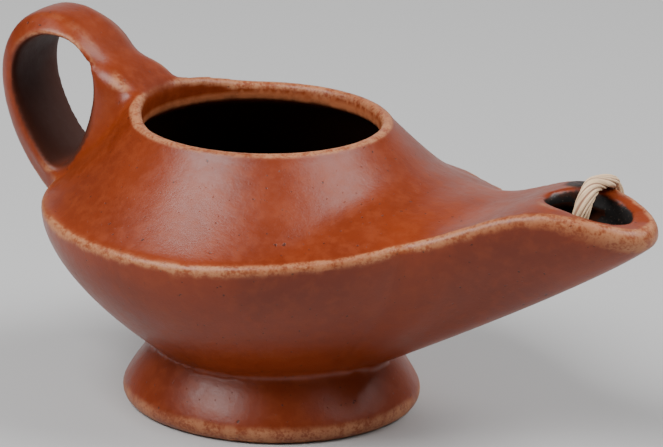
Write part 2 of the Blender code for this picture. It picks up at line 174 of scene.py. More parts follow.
# The wick
WICK_DIAMETER = 3.2 * MM
WICK_ROUTE = (
    (-10.0, 4.5, 7.1), (-6.0, 7.4, 7.1), (-1.0, 8.2, 7.1), (3.6, 6.2, 7.2), (7.4, 3.8, 8.1),
    (10.6, 2.1, 10.6), (13.6, 0.9, 13.9), (16.8, 0.2, 16.2), (20.5, 0.0, 17.5), (28.0, 0.0, 21.0),
    (36.0, 0.0, 25.0), (44.0, 0.0, 29.1), (52.0, -0.2, 33.5), (57.6, -0.6, 36.8),
    (61.6, -1.4, 39.9), (64.5, -2.7, 43.2), (65.9, -3.7, 46.6), (66.3, -3.7, 49.2),
    (66.4, -2.7, 51.2), (66.5, -1.0, 52.6), (66.6, 1.4, 53.3), (66.7, 4.2, 53.4),
    (66.8, 7.2, 53.1), (67.0, 10.0, 52.5), (67.3, 12.5, 51.1), (67.5, 13.7, 48.6),
    (67.5, 13.8, 45.6),
)
WICK_STRANDS = 9
WICK_TWIST_LENGTH = 24.0 * MM
WICK_RINGS = 420
WICK_SIDES = 84
ROUTE_STEPS = 12

WICK_SEEN_LENGTH = 21.0 * MM
WICK_SEEN_WIDENING = 0.34
WICK_SEEN_THINNING = 0.22
WICK_END_TAPER = 1.2 * MM
WICK_STEEP_X = 55.0 * MM
WICK_OVER_SHIFT = (1.7 * MM, 0.0, 0.75 * MM)
WICK_HANGING_SHIFT = (0.5 * MM, 0.8 * MM, 0.0)

# Glaze, worn clay, soot, cotton, and painted shade and light
GLAZE_DARK = (0.168, 0.0215, 0.0035)
GLAZE_LIGHT = (0.218, 0.0300, 0.0050)
GLAZE_CLOUD = (0.265, 0.0455, 0.0090)
GLAZE_GRAIN = (0.095, 0.0140, 0.0030)
GLAZE_SPECK = (0.040, 0.0070, 0.0025)
WORN_BAND = (0.320, 0.0860, 0.0270)
WORN_EDGE = (0.440, 0.1850, 0.0850)
# Painted light on the collar inside the mouth
COLLAR_PAINTED_LIGHT = (0.400, 0.1250, 0.0500)
# Painted shade on the inner face of the handle's opening
LOOP_PAINTED_SHADE = (0.055, 0.0110, 0.0035)
# Painted shade on the walls of the reservoir and the channel
INSIDE_PAINTED_SHADE = (0.030, 0.0080, 0.0035)
SOOT = (0.006, 0.004, 0.0035)
ASH = (0.100, 0.075, 0.060)
COTTON_DULL = (0.820, 0.570, 0.310)
COTTON_BRIGHT = (0.900, 0.660, 0.400)
COTTON_STREAK = (0.480, 0.280, 0.180)
# Painted shade in the grooves between the wick's strands
COTTON_GROOVE_SHADE = (0.260, 0.105, 0.062)

# Camera and studio
CAMERA_TURN = math.radians(30)
CAMERA_PITCH = math.radians(17.86)
CAMERA_YAW = math.radians(0.68)
CAMERA_ROLL = math.radians(1.41)
CAMERA_PLACE = (0.450, -0.7794, 0.3247)
CAMERA_LENS = 271.0
CAMERA_SENSOR = 36.0
FLOOR_REACH = 3.0
FLOOR_GREY = 0.50
WORLD_STRENGTH = 0.13
LIT_PLACE = (0.0, 0.0, 0.04)
SOFT_BOXES = (
    ('left_box', (-0.30, -0.54, 0.79), 0.90, 0.58, 0.58, 11.5),
    ('right_box', (0.60, 0.25, 0.76), 0.90, 0.62, 0.62, 8.5),
    ('back_wall', (-0.38, 0.90, 0.22), 1.40, 1.60, 0.70, 2.0),
)

# Fineness of the lofts that the surface is drawn from
HALF_ARC_STEPS = 90
SPOUT_SIDE_STEPS = 26
SPOUT_FACE_STEPS = 44
BOWL_LEVELS = 40
SHOULDER_LEVELS = 64
FOOT_LEVELS = 12
RIDGE_LEVELS = 7
CAVITY_LEVELS = 26
STRAP_STATIONS = 160
STRAP_CORNER_STEPS = 6
WICK_HOLE_SIDES = 120


def smoothstep(value):
    value = np.clip(value, 0.0, 1.0)
    return value * value * (3 - 2 * value)


def smooth_max(first, second, width):
    overlap = np.maximum(width - np.abs(first - second), 0.0) / width
    return np.maximum(first, second) + overlap * overlap * width / 4


def through(stations, place):
    """Heights at places, on a smooth curve through (place, height) stations."""
    places, heights = np.array(stations).T
    slopes = np.empty(len(places))
    slopes[1:-1] = (heights[2:] - heights[:-2]) / (places[2:] - places[:-2])
    slopes[0] = (heights[1] - heights[0]) / (places[1] - places[0])
    slopes[-1] = (heights[-1] - heights[-2]) / (places[-1] - places[-2])
    place = np.clip(place, places[0], places[-1])
    i = np.clip(np.searchsorted(places, place) - 1, 0, len(places) - 2)
    span = places[i + 1] - places[i]
    t = (place - places[i]) / span
    near, far = slopes[i] * span, slopes[i + 1] * span
    rise = heights[i + 1] - heights[i]
    bend = 3 * rise - 2 * near - far
    return heights[i] + t * near + t * t * bend + t ** 3 * (near + far - 2 * rise)


def bezier(start, start_handle, end_handle, end, steps):
    t = np.linspace(0, 1, steps + 1)[1:, None]
    a, b, c, d = (np.array(p) for p in (start, start_handle, end_handle, end))
    return a * (1 - t) ** 3 + 3 * b * t * (1 - t) ** 2 + 3 * c * t * t * (1 - t) + d * t ** 3


def half_outline():
    """The ridge in plan, from the handle's side round to the spout's tip, on the +Y side."""
    angles = np.linspace(math.pi, SPOUT_LEAVES_AT, HALF_ARC_STEPS + 1)
    arc = np.column_stack([BODY_RADIUS * np.cos(angles) - BODY_BACK, BODY_RADIUS * np.sin(angles)])
    leave = arc[-1]
    leave_handle = leave + SPOUT_LEAVING_REACH * np.array(
        [math.sin(SPOUT_LEAVES_AT), -math.cos(SPOUT_LEAVES_AT)])
    neck = np.array([SPOUT_NECK_X, SPOUT_NECK_HALF_WIDTH])
    along = np.array([math.cos(SPOUT_TAPER), -math.sin(SPOUT_TAPER)])
    neck_in = neck - SPOUT_NECK_REACH * along
    neck_out = neck + SPOUT_FACE_REACH * along
    side = bezier(leave, leave_handle, neck_in, neck, SPOUT_SIDE_STEPS)
    tip = (SPOUT_TIP_X, 0.0)
    face = bezier(neck, neck_out, (SPOUT_TIP_X, SPOUT_TIP_ROUNDNESS), tip, SPOUT_FACE_STEPS)
    return np.vstack([arc, side, face])


HALF = half_outline()
OUTLINE = np.vstack([HALF[::-1], (HALF * [1, -1])[1:-1]])


def inset(outline, depth):
    along = np.roll(outline, -1, 0) - np.roll(outline, 1, 0)
    along /= np.linalg.norm(along, axis=1)[:, None]
    return outline + np.column_stack([-along[:, 1], along[:, 0]]) * depth


def length_share(x):
    return (x + BODY_BACK) / (SPOUT_TIP_X + BODY_BACK)


def ridge_height(x):
    return RIDGE_HEIGHT + SPOUT_RISE * through(SPOUT_RISE_PROFILE, length_share(x))


def lip_share(x):
    return smoothstep((x - SPOUT_LIP_FROM) / (SPOUT_LIP_TO - SPOUT_LIP_FROM))


def half_width(x):
    return np.maximum(np.interp(x, HALF[:, 0], HALF[:, 1]), 1e-6)


def rim_rise(angle):
    off = np.abs(np.mod(angle, 2 * math.pi) - math.pi)
    return FAN_RISE * (1 - smoothstep((off - FAN_LEVEL_ANGLE) / (FAN_ANGLE - FAN_LEVEL_ANGLE)))


def foot_radius(height):
    climb = np.maximum(height - FOOT_BAND_HEIGHT, 0.0) / FOOT_DRAW_HEIGHT
    return FOOT_RADIUS + FOOT_OVERHANG - FOOT_DRAW_IN * climb ** FOOT_SOFTNESS


def bowl_points(edge, height, root_radius, root_height, depth):
    """Points at a share of the depth from the ridge down to the bowl's root."""
    reach = np.hypot(edge[:, 0] + BODY_BACK, edge[:, 1])
    longest = SPOUT_TIP_X + BODY_BACK
    beyond = np.clip((reach - BODY_RADIUS) / (longest - BODY_RADIUS), 0, 1)
    power = BOWL_FULLNESS + (KEEL_FULLNESS - BOWL_FULLNESS) * beyond
    out = 1 - depth ** power
    root = np.column_stack([(edge[:, 0] + BODY_BACK) / reach, edge[:, 1] / reach]) * root_radius
    plan = root + (edge - root) * out[:, None]
    return np.column_stack([plan, height + (root_height - height) * depth])


def shoulder_height(x, y, dished=True):
    rim_radius = MOUTH_RADIUS + RIM_WIDTH
    share = np.zeros_like(x)
    for _ in range(4):
        back = BODY_BACK + (MOUTH_BACK - BODY_BACK) * share
        across = np.hypot(x + back, y)
        share = np.clip((BODY_RADIUS - across) / (BODY_RADIUS - rim_radius), 0, 1)
    low = RIDGE_HEIGHT + RIDGE_LIFT
    cone = low + (RIM_HEIGHT - RIM_DROP - low) * share ** SHOULDER_HOLLOW
    width = half_width(x)
    back_rise = SPOUT_BACK_RISE * through(SPOUT_BACK_PROFILE, length_share(x))
    back = back_rise * (1 - np.clip(np.abs(y) / width, 0, 1) ** 2)
    sunk = SPOUT_RISE * (1 - smoothstep((x - SPOUT_SINK_FROM) / (SPOUT_SINK_TO - SPOUT_SINK_FROM)))
    face = ridge_height(x) + RIDGE_LIFT + back - sunk
    if dished:
        from_edge = np.minimum(width - np.abs(y), SPOUT_TIP_X - x)
        dish = smoothstep((from_edge - DISH_LIP) / DISH_SLOPE)
        face = face - SPOUT_DISH * dish * smoothstep((x - DISH_FROM) / (DISH_TO - DISH_FROM))
    return smooth_max(cone, face, SPOUT_BLEND)


def circle(radius, height, back, angles):
    angles = np.asarray(angles)
    height = np.broadcast_to(height, angles.shape)
    return np.column_stack([radius * np.cos(angles) - back, radius * np.sin(angles), height])


def shoulder_rings(edge, levels, thickness, rim_radius, rim_height, fan, dished):
    angle = np.arctan2(edge[:, 1], edge[:, 0] + BODY_BACK)
    rim = np.column_stack([rim_radius * np.cos(angle) - MOUTH_BACK, rim_radius * np.sin(angle)])
    at_edge = ridge_height(edge[:, 0]) + RIDGE_LIFT - shoulder_height(*edge.T, dished)
    at_rim = rim_height + fan * rim_rise(angle) - (shoulder_height(*rim.T, dished) - thickness)
    rings = []
    for level in range(levels + 1):
        t = (level / levels) ** 1.25
        plan = edge + (rim - edge) * t
        z = shoulder_height(*plan.T, dished) - thickness + at_edge * (1 - t) ** 3 + at_rim * t ** 3
        rings.append(np.column_stack([plan, z]))
    return rings


def outer_rings():
    angles = np.arctan2(OUTLINE[:, 1], OUTLINE[:, 0] + BODY_BACK)
    heights = ridge_height(OUTLINE[:, 0])
    lip = RIDGE_ROUNDING + (SPOUT_LIP_DEPTH - RIDGE_ROUNDING) * lip_share(OUTLINE[:, 0])
    rings = [circle(FOOT_RADIUS - 0.5 * MM, 0.0, 0.0, angles)]
    rings.append(circle(FOOT_RADIUS, 0.35 * MM, 0.0, angles))
    for share in (0.25, 0.5, 0.75):
        swell = FOOT_OVERHANG * math.sin(math.pi / 2 * share)
        rings.append(circle(FOOT_RADIUS + swell, FOOT_BAND_HEIGHT * share, 0.0, angles))
    low_edge = inset(OUTLINE, RIDGE_ROUNDING * 0.1)
    low_height = heights - lip
    bowl = [bowl_points(low_edge, low_height, BOWL_ROOT_RADIUS, BOWL_ROOT_HEIGHT, d)
            for d in np.linspace(0, 1, 400)]
    inside = np.array([np.hypot(ring[:, 0], ring[:, 1]) < foot_radius(ring[:, 2]) for ring in bowl])
    depths = np.linspace(0, 1, 400)[inside.argmax(0)]
    meets = bowl_points(low_edge, low_height, BOWL_ROOT_RADIUS, BOWL_ROOT_HEIGHT, depths)
    for level in range(FOOT_LEVELS + 1):
        z = FOOT_BAND_HEIGHT + (meets[:, 2] - FOOT_BAND_HEIGHT) * level / (FOOT_LEVELS + 1)
        radius = foot_radius(z)
        rings.append(np.column_stack([radius * np.cos(angles), radius * np.sin(angles), z]))
    for level in range(BOWL_LEVELS + 1):
        depth = depths * (1 - level / BOWL_LEVELS)
        rings.append(bowl_points(low_edge, low_height, BOWL_ROOT_RADIUS, BOWL_ROOT_HEIGHT, depth))
    for level in range(RIDGE_LEVELS):
        turn = math.pi / 2 * level / RIDGE_LEVELS
        plan = inset(OUTLINE, RIDGE_ROUNDING * (1 - math.cos(turn)))
        drop = lip * 0.6
        rings.append(np.column_stack([plan, heights - drop + (drop + RIDGE_LIFT) * math.sin(turn)]))
    edge = inset(OUTLINE, RIDGE_ROUNDING)
    rim_radius = MOUTH_RADIUS + RIM_WIDTH
    rings += shoulder_rings(edge, SHOULDER_LEVELS, 0.0, rim_radius, RIM_HEIGHT - RIM_DROP, 1, True)
    for turn in np.linspace(0.15, 1.0, 7) * math.pi / 2:
        out = RIM_WIDTH * (0.5 + 0.5 * math.cos(turn))
        up = RIM_HEIGHT - RIM_DROP * (1 - math.sin(turn))
        rings.append(circle(MOUTH_RADIUS + out, up + rim_rise(angles), MOUTH_BACK, angles))
    rings.append(circle(MOUTH_RADIUS - RIM_WIDTH, RIM_HEIGHT + rim_rise(angles), MOUTH_BACK, angles))
    return rings


def cavity_rings():
    edge = inset(OUTLINE, WALL + RIDGE_ROUNDING)
    angles = np.arctan2(edge[:, 1], edge[:, 0] + BODY_BACK)
    root_height = BOWL_ROOT_HEIGHT + WALL * 1.25
    root_radius = WELL_RADIUS - WALL * 0.4
    rings = [
        circle(WELL_RADIUS - WALL, FLOOR_THICKNESS, 0.0, angles),
        circle(WELL_RADIUS - WALL * 0.3, FLOOR_THICKNESS + WALL * 0.3, 0.0, angles),
        circle(WELL_RADIUS, FLOOR_THICKNESS + WALL, 0.0, angles),
    ]
    low = ridge_height(edge[:, 0]) - WALL * 0.9
    for level in range(CAVITY_LEVELS + 1):
        depth = np.full(len(edge), 0.97 * (1 - level / CAVITY_LEVELS))
        rings.append(bowl_points(edge, low, root_radius, root_height, depth))
    collar_foot = RIM_HEIGHT - COLLAR_HEIGHT
    rings += shoulder_rings(edge, CAVITY_LEVELS, WALL, MOUTH_RADIUS, collar_foot, 0, False)
    rings.append(circle(MOUTH_RADIUS, RIM_HEIGHT - RIM_DROP, MOUTH_BACK, angles))
    for turn in np.linspace(0.2, 1.0, 5) * math.pi / 2:
        out = RIM_WIDTH * 0.45 * (1 - math.cos(turn))
        up = RIM_HEIGHT - RIM_DROP + RIM_DROP * math.sin(turn)
        rings.append(circle(MOUTH_RADIUS + out, up + rim_rise(angles), MOUTH_BACK, angles))
    top = RIM_HEIGHT + FAN_RISE + WALL
    rings.append(circle(MOUTH_RADIUS + RIM_WIDTH * 0.45, top, MOUTH_BACK, angles))
    return rings


def wick_hole_rings():
    face = RIDGE_HEIGHT + SPOUT_RISE
    levels = (
        (-WICK_HOLE_DEPTH, -WICK_HOLE_TAPER),
        (-WICK_HOLE_ROUNDING * 3, 0.0),
        (0.0, WICK_HOLE_ROUNDING),
        (WALL, WICK_HOLE_ROUNDING * 5),
    )
    angles = np.linspace(0, 2 * math.pi, WICK_HOLE_SIDES, endpoint=False)
    rings = []
    for up, out in levels:
        x = WICK_HOLE_X + min(out, 0.0) + (WICK_HOLE_HALF_LENGTH + out) * np.cos(angles)
        y = (WICK_HOLE_HALF_WIDTH + out) * np.sin(angles)
        rings.append(np.column_stack([x, y, np.full_like(x, face + up)]))
    return rings


def loop_points(angle):
    u = LOOP_HALF_WIDTH * np.cos(angle) * (1 + LOOP_EGG * np.sin(angle))
    v = LOOP_HALF_LENGTH * np.sin(angle)
    c, s = math.cos(LOOP_LEAN), math.sin(LOOP_LEAN)
    return np.column_stack([-LOOP_BACK + u * c - v * s, LOOP_UP + u * s + v * c])


def ring_beyond(start, away):
    """Where rays from inside the handle's outer oval leave it."""
    c, s = math.cos(RING_LEAN), math.sin(RING_LEAN)

    def to_oval(p):
        return np.column_stack([(p[:, 0] * c + p[:, 1] * s) / RING_HALF_WIDTH,
                                (p[:, 1] * c - p[:, 0] * s) / RING_HALF_LENGTH])

    place = to_oval(start - [-RING_BACK, RING_UP])
    step = to_oval(away)
    a = (step * step).sum(1)
    b = (place * step).sum(1)
    d = (place * place).sum(1) - 1
    return start + away * ((-b + np.sqrt(b * b - a * d)) / a)[:, None]


def strap_rings():
    angle = 2 * math.pi * np.arange(STRAP_STATIONS) / STRAP_STATIONS
    inner = loop_points(angle)
    away = inner - [-LOOP_BACK, LOOP_UP]
    away /= np.linalg.norm(away, axis=1)[:, None]
    outer = ring_beyond(inner, away)
    signed = np.where(angle > math.pi, angle - 2 * math.pi, angle)
    flare = np.clip((STRAP_FLARE_FROM - signed) / (STRAP_FLARE_FROM - STRAP_FLARE_TO), 0, 1) ** 2
    flare *= smoothstep((signed - 2 * STRAP_FLARE_END) / -STRAP_FLARE_END)
    outer += away * (STRAP_FLARE * flare)[:, None]
    rising = smoothstep((STRAP_WIDENING_FROM - signed) / (STRAP_WIDENING_FROM - STRAP_WIDENING_TO))
    front = rising * smoothstep((signed + math.radians(150)) / math.radians(70))
    back = smoothstep((np.abs(signed) - math.radians(100)) / math.radians(60))
    spread = STRAP_FOOT_WIDENING * front + STRAP_BACK_WIDENING * back
    rings = []
    for i in range(STRAP_STATIONS):
        inner_width = STRAP_INNER_HALF_WIDTH
        outer_width = STRAP_OUTER_HALF_WIDTH + spread[i]
        half = [(0.0, 0.0), (0.0, inner_width * 0.5), (0.0, inner_width * 0.88)]
        for turn in np.linspace(0.1, 1, STRAP_CORNER_STEPS) * math.pi / 2:
            half.append((0.16 * (1 - math.cos(turn)), inner_width * (0.88 + 0.12 * math.sin(turn))))
        for turn in np.linspace(0, 1, STRAP_CORNER_STEPS) * math.pi / 2:
            half.append((0.80 + 0.2 * math.sin(turn), outer_width * (0.8 + 0.2 * math.cos(turn))))
        half += [(1.03, outer_width * 0.4), (1.04, 0.0)]
        section = [(share, -width) for share, width in half]
        section += [(share, width) for share, width in reversed(half[1:-1])]
        share, width = np.array(section).T
        point = inner[i] + (outer[i] - inner[i]) * share[:, None]
        rings.append(np.column_stack([point[:, 0], width, point[:, 1]]))
    return rings


def loft(name, rings, closed=False):
    count, sides = len(rings), len(rings[0])
    points = np.vstack(rings)
    faces = []
    last = count if closed else count - 1
    for i in range(last):
        low, high = i * sides, (i + 1) % count * sides
        for j in range(sides):
            k = (j + 1) % sides
            faces.append((low + j, low + k, high + k, high + j))
    if not closed:
        faces.append(tuple(range(sides))[::-1])
        faces.append(tuple(range((count - 1) * sides, count * sides)))
    data = bpy.data.meshes.new(name)
    data.from_pydata(points.tolist(), [], faces)
    mesh = bmesh.new()
    mesh.from_mesh(data)
    bmesh.ops.recalc_face_normals(mesh, faces=mesh.faces)
    mesh.to_mesh(data)
    mesh.free()
    obj = bpy.data.objects.new(name, data)
    bpy.context.scene.collection.objects.link(obj)
    return obj


def evaluated_copy(obj):
    bpy.context.view_layer.update()
    graph = bpy.context.evaluated_depsgraph_get()
    return bpy.data.meshes.new_from_object(obj.evaluated_get(graph))


def neighbour_mean(points, edges, counts):
    total = np.empty_like(points)
    for axis in range(3):
        total[:, axis] = np.bincount(edges[:, 0], points[edges[:, 1], axis], len(points))
        total[:, axis] += np.bincount(edges[:, 1], points[edges[:, 0], axis], len(points))
    return total / counts[:, None]


def smooth(points, edges, counts, passes):
    """Taubin smoothing, which keeps the form's volume."""
    for _ in range(passes):
        for factor in (0.5, -0.52):
            points = points + (neighbour_mean(points, edges, counts) - points) * factor
    return points


def clay_mesh():
    """The clay's fine surface: lofts joined and hollowed, then remeshed and eased like a fired glaze."""
    body = loft('clay_body', outer_rings())
    helpers = (
        (loft('strap_form', strap_rings(), closed=True), 'UNION'),
        (loft('hollow_form', cavity_rings()), 'DIFFERENCE'),
        (loft('hole_form', wick_hole_rings()), 'DIFFERENCE'),
    )
    for helper, operation in helpers:
        boolean = body.modifiers.new(helper.name, 'BOOLEAN')
        boolean.operation = operation
        boolean.solver = 'MANIFOLD'
        boolean.object = helper
    remesh = body.modifiers.new('remesh', 'REMESH')
    remesh.mode = 'VOXEL'
    remesh.voxel_size = VOXEL
    remesh.use_smooth_shade = True
    data = evaluated_copy(body)
    body.modifiers.clear()
    old = body.data
    body.data = data
    bpy.data.meshes.remove(old)
    for helper, _ in helpers:
        bpy.data.objects.remove(helper)
    return body


def mesh_arrays(data):
    points = np.empty(len(data.vertices) * 3)
    data.vertices.foreach_get('co', points)
    edges = np.empty(len(data.edges) * 2, np.int32)
    data.edges.foreach_get('vertices', edges)
    return points.reshape(-1, 3), edges.reshape(-1, 2)


def junction_weight(points):
    """Where the strap's ends run into the rim and the shoulder."""
    mid, half_line = np.array(FILLET_MID), np.array(FILLET_HALF_LINE)
    t = np.clip(((points - mid) @ half_line) / (half_line @ half_line), -1, 1)
    near = points - mid - t[:, None] * half_line
    near[:, 1] *= FILLET_SIDEWAYS_SHARE
    distance = np.linalg.norm(near, axis=1)
    return 1 - smoothstep((distance - FILLET_REACH * 0.4) / (FILLET_REACH * 0.8))


def vertex_normals(data, points):
    data.vertices.foreach_set('co', points.ravel())
    data.update()
    normals = np.empty(len(points) * 3)
    data.vertices.foreach_get('normal', normals)
    return normals.reshape(-1, 3)


def add_attribute(data, name, values):
    layer = data.attributes.new(name, 'FLOAT', 'POINT')
    layer.data.foreach_set('value', np.asarray(values, np.float32))


def ease_surface(data, points, edges, counts):
    """Smooths the whole surface, fills the corners at the strap's ends, and eases the strap."""
    points = smooth(points, edges, counts, SMOOTH_PASSES)
    weight = junction_weight(points)
    for step in range(FILLET_PASSES):
        if step % FILLET_NORMALS_EVERY == 0:
            normals = vertex_normals(data, points)
        move = (neighbour_mean(points, edges, counts) - points) * FILLET_PACE
        filling = np.where((move * normals).sum(1) > 0, 1.0, FILLET_CUTTING_SHARE)
        points = points + move * (filling * weight)[:, None]
    strap = smoothstep((STRAP_EASED_FROM_X - points[:, 0]) / STRAP_EASED_OVER)
    strap *= smoothstep((points[:, 2] - RIDGE_HEIGHT) / STRAP_EASED_RISE)
    for _ in range(STRAP_PASSES):
        move = neighbour_mean(points, edges, counts) - points
        points = points + move * (STRAP_PACE * strap)[:, None]
    # The underside stays on the level that the lamp stands on.
    points[:, 2] = np.maximum(points[:, 2], 0.0)
    return points


def edge_bulge(points, normals, edges, counts):
    """How far each point stands out of its surroundings, in mm, as on a voxel of EDGE_VOXEL."""
    eased = points
    for _ in range(EDGE_PASSES):
        eased = eased + (neighbour_mean(eased, edges, counts) - eased) * EDGE_PACE
    return ((points - eased) * normals).sum(1) / MM * (EDGE_VOXEL / VOXEL) ** 2


def mark_edges(data, points, normals, bulge):
    """Marks the painted shade inside the handle's opening, and the edges that wear off."""
    x, y, z = points.T
    out_x, out_z = x + LOOP_BACK, z - LOOP_UP
    loop = np.hypot(out_x, out_z)
    outward = (out_x * normals[:, 0] + out_z * normals[:, 2]) / np.maximum(loop, MM)
    strap = smoothstep((STRAP_FROM_X - x) / STRAP_OVER) * (z > RIDGE_HEIGHT)
    # The inner face of the handle's opening gets painted shade.
    loop_shade_share = smoothstep((-outward - 0.35) / 0.4) * (np.abs(y) < STRAP_INNER_HALF_WIDTH + 0.2 * MM)
    loop_shade_share *= strap * (1 - smoothstep((loop - LOOP_SHADE_REACH) / LOOP_SHADE_FADE))
    add_attribute(data, 'loop_shade_mark', loop_shade_share)
    opening_edge = smoothstep((OPENING_EDGE_REACH - loop) / OPENING_EDGE_FADE)
    opening_edge *= np.abs(y) > STRAP_INNER_HALF_WIDTH - 1.5 * MM
    crest = np.exp(-((x - CREST_X) / CREST_LENGTH) ** 2) * smoothstep((z - CREST_FROM_Z) / (2 * MM))
    share = (1 - 0.45 * strap) * (1 - 0.5 * strap * opening_edge)
    share += 0.9 * strap * crest * (1 - opening_edge)
    around_hole = np.hypot((x - WICK_HOLE_X) / (WICK_HOLE_HALF_LENGTH + MM),
                           y / (WICK_HOLE_HALF_WIDTH + MM))
    add_attribute(data, 'bulge', bulge * share * smoothstep((around_hole - 1.02) / 0.12))


def outline_distance(x, y):
    """Distance in plan to the ridge, found in blocks to save memory."""
    nearest = np.full(len(x), np.inf)
    for start in range(0, len(OUTLINE), 16):
        block = OUTLINE[start:start + 16]
        distance = np.hypot(x[:, None] - block[:, 0], y[:, None] - block[:, 1])
        nearest = np.minimum(nearest, distance.min(1))
    return nearest


def mark_ridge(data, points, nearest):
    """Marks the worn band that runs along the ridge and widens towards the spout's tip."""
    x, _, z = points.T
    above = z - ridge_height(np.clip(x, HALF[0, 0], HALF[-1, 0]))
    below = BAND_BELOW
    for growth, start, over in (BAND_TIP_GROWTH, BAND_SPOUT_GROWTH):
        below = below + growth * smoothstep((x - start) / over)
    band = smoothstep((above + below + 0.15 * MM) / (0.3 * MM))
    band *= 1 - smoothstep((above - 0.6 * MM) / (0.5 * MM))
    band *= 1 - smoothstep((nearest - 0.9 * MM) / (0.8 * MM))
    add_attribute(data, 'ridge', band)


def mark_inside(data, points, normals, nearest):
    """Marks the collar for painted light, and the walls of the reservoir and the channel for painted
    shade.
    """
    x, y, z = points.T
    deep = shoulder_height(x, y) - z
    out_x = x - np.clip(x, -2 * MM, WICK_HOLE_X)
    facing_in = out_x * normals[:, 0] + y * normals[:, 1] < -0.05 * np.hypot(out_x, y)
    wall = facing_in & (deep > 0.5 * MM)
    under_shoulder = (deep > 2.0 * MM) & (deep < 6.5 * MM) & (nearest > 2.6 * MM) & (x < 70 * MM)
    ceiling = (normals[:, 2] < 0) & under_shoulder
    well = (deep > 8 * MM) & (np.hypot(x, y) < 16.5 * MM)
    channel_floor = (normals[:, 2] > 0.2) & (deep > 2.5 * MM) & (x > CHANNEL_X)
    in_bowl = np.hypot(x + BODY_BACK, y) < BODY_RADIUS - MM
    in_spout = (x > 0) & (np.abs(y) < half_width(x) - MM)
    inside = (in_bowl | in_spout) & (z > FLOOR_THICKNESS - 0.5 * MM)
    inside = inside & (wall | ceiling | well | channel_floor)
    below_collar = smoothstep((RIM_HEIGHT - COLLAR_HEIGHT - 0.2 * MM - z) / COLLAR_FADE)
    # Painted shade: the walls of the reservoir and the channel below the collar are darkened.
    add_attribute(data, 'deep', inside * np.maximum(below_collar, x > CHANNEL_X))
    # Painted light: the collar's inner face is lightened.
    add_attribute(data, 'collar', inside * (1 - below_collar) * (x < CHANNEL_X))


def mark_soot(data, points, normals):
    """Marks the wick hole, the depth in it, and the sooty notch beside it."""
    x, y, z = points.T
    deep = (shoulder_height(x, y) - z) / MM
    hole = np.hypot((x - WICK_HOLE_X) / WICK_HOLE_HALF_LENGTH, y / WICK_HOLE_HALF_WIDTH)
    keel = (normals[:, 2] < -0.15) & (deep > 2.5)
    add_attribute(data, 'hole', np.where((z > RIDGE_HEIGHT) & ~keel, hole, 3.0))
    add_attribute(data, 'depth', deep)
    off_x, off_y = x - NOTCH_PLACE[0], y - NOTCH_PLACE[1]
    along = (off_x * NOTCH_ALONG[0] + off_y * NOTCH_ALONG[1]) / NOTCH_HALF_LENGTH
    across = (off_x * NOTCH_ALONG[1] - off_y * NOTCH_ALONG[0]) / NOTCH_HALF_WIDTH
    notch = np.hypot(along, across) + 3 * (z < RIDGE_HEIGHT + 9 * MM)
    add_attribute(data, 'notch', 1 - smoothstep((notch - 0.6) / 0.5))


def make_clay():
    body = clay_mesh()
    data = body.data
    points, edges = mesh_arrays(data)
    counts = np.bincount(edges.ravel(), minlength=len(points)).astype(float)
    points = ease_surface(data, points, edges, counts)
    normals = vertex_normals(data, points)
    nearest = outline_distance(points[:, 0], points[:, 1])
    mark_edges(data, points, normals, edge_bulge(points, normals, edges, counts))
    mark_ridge(data, points, nearest)
    mark_inside(data, points, normals, nearest)
    mark_soot(data, points, normals)
    return body


def smooth_route(stations, count):
    """Points evenly spaced on a smooth line through the stations."""
    stations = np.array(stations)
    ends = np.vstack([2 * stations[0] - stations[1], stations, 2 * stations[-1] - stations[-2]])
    line = [stations[0]]
    for i in range(1, len(ends) - 2):
        before, start, end, after = ends[i - 1:i + 3]
        for step in range(1, ROUTE_STEPS + 1):
            t = step / ROUTE_STEPS
            line.append(0.5 * (2 * start + (end - before) * t
                               + (2 * before - 5 * start + 4 * end - after) * t * t
                               + (3 * start - before - 3 * end + after) * t ** 3))
    line = np.array(line)
    run = np.concatenate([[0], np.cumsum(np.linalg.norm(np.diff(line, axis=0), axis=1))])
    wanted = np.linspace(0, run[-1], count)
    return np.column_stack([np.interp(wanted, run, line[:, axis]) for axis in range(3)]), run[-1]


def make_camera():
    cos_pitch = math.cos(CAMERA_PITCH)
    forward = Vector((math.sin(CAMERA_YAW) * cos_pitch, math.cos(CAMERA_YAW) * cos_pitch,
                      -math.sin(CAMERA_PITCH)))
    right = Vector((math.cos(CAMERA_YAW), -math.sin(CAMERA_YAW), 0))
    up = right.cross(forward)
    rolled_right = math.cos(CAMERA_ROLL) * right + math.sin(CAMERA_ROLL) * up
    rolled_up = math.cos(CAMERA_ROLL) * up - math.sin(CAMERA_ROLL) * right
    to_lamp = Matrix.Rotation(CAMERA_TURN, 3, 'Z')
    axes = Matrix((to_lamp @ rolled_right, to_lamp @ rolled_up, to_lamp @ -forward)).transposed()
    data = bpy.data.cameras.new('camera')
    data.sensor_width = CAMERA_SENSOR
    data.lens = CAMERA_LENS
    data.clip_start = 0.1
    data.clip_end = 20
    camera = bpy.data.objects.new('camera', data)
    camera.matrix_world = Matrix.Translation(CAMERA_PLACE) @ axes.to_4x4()
    bpy.context.scene.collection.objects.link(camera)
    bpy.context.scene.camera = camera


def unit(vectors):
    return vectors / np.linalg.norm(vectors, axis=1)[:, None]


def strand_reach(own, run):
    """Each point's share of the cord's largest radius, and how near it lies to a groove."""
    lobe = 2 * math.pi / WICK_STRANDS
    centre = 1 / (1 + math.sin(lobe / 2) * 1.12)
    radius = 1 - centre
    place = np.mod(own + lobe / 2, lobe) - lobe / 2
    reach = centre * np.cos(place)
    reach += np.sqrt(np.maximum(radius ** 2 - (centre * np.sin(place)) ** 2, 0))
    reach = 1 - (1 - reach) * (1.15 + 0.5 * np.sin(own + run / (5 * MM)))
    return reach, np.abs(place) / (lobe / 2)


